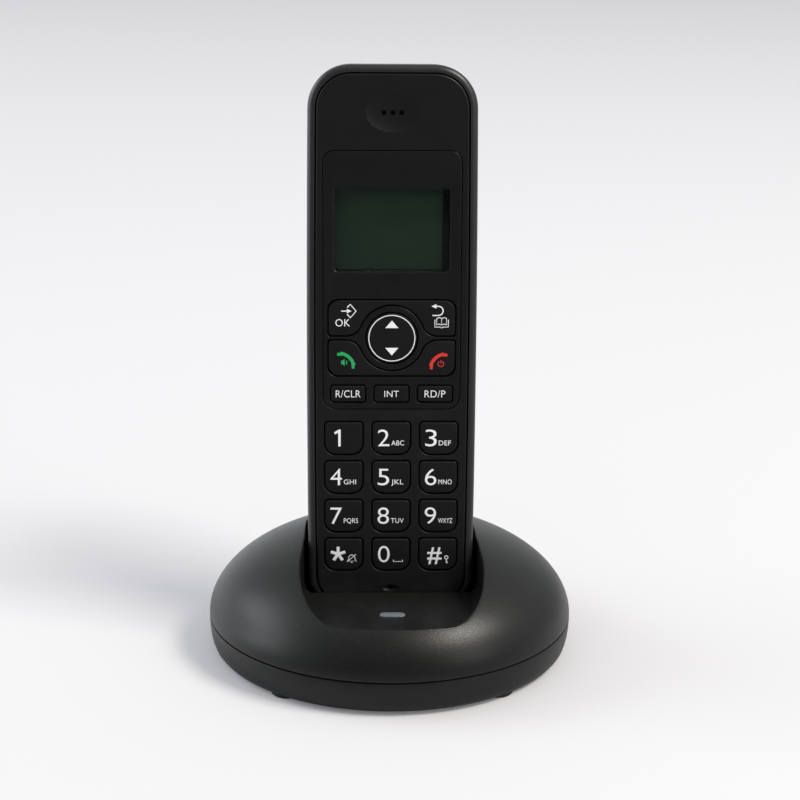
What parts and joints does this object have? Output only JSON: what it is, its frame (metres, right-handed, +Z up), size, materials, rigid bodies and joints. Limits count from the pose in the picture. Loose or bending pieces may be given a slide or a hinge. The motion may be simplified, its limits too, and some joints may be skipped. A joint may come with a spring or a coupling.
{
  "type": "cordless phone with base",
  "caption": "Cordless phone handset with display and keypad, standing upright in a round domed charging base.",
  "frame": {"origin": "centre of the round base on the surface that it stands on", "axes": "+Z up, +X to the right of someone who looks at the keys, keys facing -Y"},
  "size_m": [0.1056, 0.1056, 0.1681],
  "materials": {
    "casing_black": "fine matte texture",
    "face_black": "fine matte texture",
    "fascia_black": "satin",
    "key_black": "satin",
    "display_glass": "polished",
    "display_green": "satin",
    "lens_grey": "satin translucent",
    "rubber_grey": "matte",
    "board_green": "solder mask",
    "nickel": "plated",
    "steel": "satin",
    "cell_wrap": "printed film",
    "socket_black": "matte"
  },
  "bodies": {
    "base": {"base_upper_cover": "casing_black", "base_lower_cover": "casing_black", "base_circuit_board": "board_green", "line_socket": "socket_black", "power_socket": "socket_black", "indicator_lens": "lens_grey", "foot_rear_right": "rubber_grey", "foot_rear_left": "rubber_grey", "foot_front_left": "rubber_grey", "foot_front_right": "rubber_grey", "base_screw_rear_right": "steel", "base_screw_rear_left": "steel", "base_screw_front_left": "steel", "base_screw_front_right": "steel"},
    "handset": {"handset_front_shell": "face_black", "handset_rear_shell": "casing_black", "control_fascia": "fascia_black", "display_window": "display_glass", "display_panel": "display_green", "display_holder": "rubber_grey", "keypad_mat": "rubber_grey", "handset_circuit_board": "board_green", "earpiece_speaker": "steel", "microphone": "steel", "ringer_speaker": "steel", "charge_contact_left": "nickel", "charge_contact_right": "nickel", "handset_screw_left": "steel", "handset_screw_right": "steel", "battery_tray": "socket_black", "battery_cell_left": "cell_wrap", "battery_cell_right": "cell_wrap", "battery_spring_left": "nickel", "battery_spring_right": "nickel", "battery_bridge": "nickel"},
    "battery_door": {"battery_door": "casing_black"},
    "page_button": {"page_button": "key_black"},
    "charge_pin_left": {"charge_pin_left": "nickel"},
    "charge_pin_right": {"charge_pin_right": "nickel"},
    "nav_key": {"nav_key": "key_black"},
    "menu_bar_key": {"menu_bar_key": "key_black"},
    "call_bar_key": {"call_bar_key": "key_black"},
    "key_1": {"key_1": "key_black"},
    "key_2": {"key_2": "key_black"},
    "key_3": {"key_3": "key_black"},
    "key_4": {"key_4": "key_black"},
    "key_5": {"key_5": "key_black"},
    "key_6": {"key_6": "key_black"},
    "key_7": {"key_7": "key_black"},
    "key_8": {"key_8": "key_black"},
    "key_9": {"key_9": "key_black"},
    "key_star": {"key_star": "key_black"},
    "key_0": {"key_0": "key_black"},
    "key_hash": {"key_hash": "key_black"},
    "key_clear": {"key_clear": "key_black"},
    "key_intercom": {"key_intercom": "key_black"},
    "key_redial": {"key_redial": "key_black"}
  },
  "joints": [
    {"name": "handset_lift", "type": "slide", "parent": "base", "child": "handset", "axis": [0, 0.1045, 0.9945], "range_m": [0, 0.06]},
    {"name": "battery_door_slide", "type": "slide", "parent": "handset", "child": "battery_door", "axis": [0, -0.1045, -0.9945], "range_m": [0, 0.007]},
    {"name": "page_press", "type": "slide", "parent": "base", "child": "page_button", "axis": [0, -1, 0], "range_m": [0, 0.0008], "stiffness_N_per_m": 200},
    {"name": "charge_pin_left_press", "type": "slide", "parent": "base", "child": "charge_pin_left", "axis": [0, 0.1045, 0.9945], "range_m": [-0.001, 0], "stiffness_N_per_m": 150},
    {"name": "charge_pin_right_press", "type": "slide", "parent": "base", "child": "charge_pin_right", "axis": [0, 0.1045, 0.9945], "range_m": [-0.001, 0], "stiffness_N_per_m": 150},
    {"name": "nav_rock", "type": "hinge", "parent": "handset", "child": "nav_key", "pos_m": [0, 0.00003, 0.0926], "axis": [1, 0, 0], "range_deg": [-4, 4], "stiffness_Nm_per_rad": 0.14},
    {"name": "menu_bar_rock", "type": "hinge", "parent": "handset", "child": "menu_bar_key", "pos_m": [0, 0.00003, 0.0926], "axis": [0, 0.1045, 0.9945], "range_deg": [-2, 2], "stiffness_Nm_per_rad": 0.4},
    {"name": "call_bar_rock", "type": "hinge", "parent": "handset", "child": "call_bar_key", "pos_m": [0, 0.00003, 0.0926], "axis": [0, 0.1045, 0.9945], "range_deg": [-2, 2], "stiffness_Nm_per_rad": 0.4},
    {"name": "key_clear_press", "type": "slide", "parent": "handset", "child": "key_clear", "axis": [0, 0.9945, -0.1045], "range_m": [0, 0.0008], "stiffness_N_per_m": 150},
    {"name": "key_intercom_press", "type": "slide", "parent": "handset", "child": "key_intercom", "axis": [0, 0.9945, -0.1045], "range_m": [0, 0.0008], "stiffness_N_per_m": 150},
    {"name": "key_redial_press", "type": "slide", "parent": "handset", "child": "key_redial", "axis": [0, 0.9945, -0.1045], "range_m": [0, 0.0008], "stiffness_N_per_m": 150},
    {"name": "key_1_press", "type": "slide", "parent": "handset", "child": "key_1", "axis": [0, 0.9945, -0.1045], "range_m": [0, 0.0008], "stiffness_N_per_m": 150},
    {"name": "key_2_press", "type": "slide", "parent": "handset", "child": "key_2", "axis": [0, 0.9945, -0.1045], "range_m": [0, 0.0008], "stiffness_N_per_m": 150},
    {"name": "key_3_press", "type": "slide", "parent": "handset", "child": "key_3", "axis": [0, 0.9945, -0.1045], "range_m": [0, 0.0008], "stiffness_N_per_m": 150},
    {"name": "key_4_press", "type": "slide", "parent": "handset", "child": "key_4", "axis": [0, 0.9945, -0.1045], "range_m": [0, 0.0008], "stiffness_N_per_m": 150},
    {"name": "key_5_press", "type": "slide", "parent": "handset", "child": "key_5", "axis": [0, 0.9945, -0.1045], "range_m": [0, 0.0008], "stiffness_N_per_m": 150},
    {"name": "key_6_press", "type": "slide", "parent": "handset", "child": "key_6", "axis": [0, 0.9945, -0.1045], "range_m": [0, 0.0008], "stiffness_N_per_m": 150},
    {"name": "key_7_press", "type": "slide", "parent": "handset", "child": "key_7", "axis": [0, 0.9945, -0.1045], "range_m": [0, 0.0008], "stiffness_N_per_m": 150},
    {"name": "key_8_press", "type": "slide", "parent": "handset", "child": "key_8", "axis": [0, 0.9945, -0.1045], "range_m": [0, 0.0008], "stiffness_N_per_m": 150},
    {"name": "key_9_press", "type": "slide", "parent": "handset", "child": "key_9", "axis": [0, 0.9945, -0.1045], "range_m": [0, 0.0008], "stiffness_N_per_m": 150},
    {"name": "key_star_press", "type": "slide", "parent": "handset", "child": "key_star", "axis": [0, 0.9945, -0.1045], "range_m": [0, 0.0008], "stiffness_N_per_m": 150},
    {"name": "key_0_press", "type": "slide", "parent": "handset", "child": "key_0", "axis": [0, 0.9945, -0.1045], "range_m": [0, 0.0008], "stiffness_N_per_m": 150},
    {"name": "key_hash_press", "type": "slide", "parent": "handset", "child": "key_hash", "axis": [0, 0.9945, -0.1045], "range_m": [0, 0.0008], "stiffness_N_per_m": 150}
  ]
}
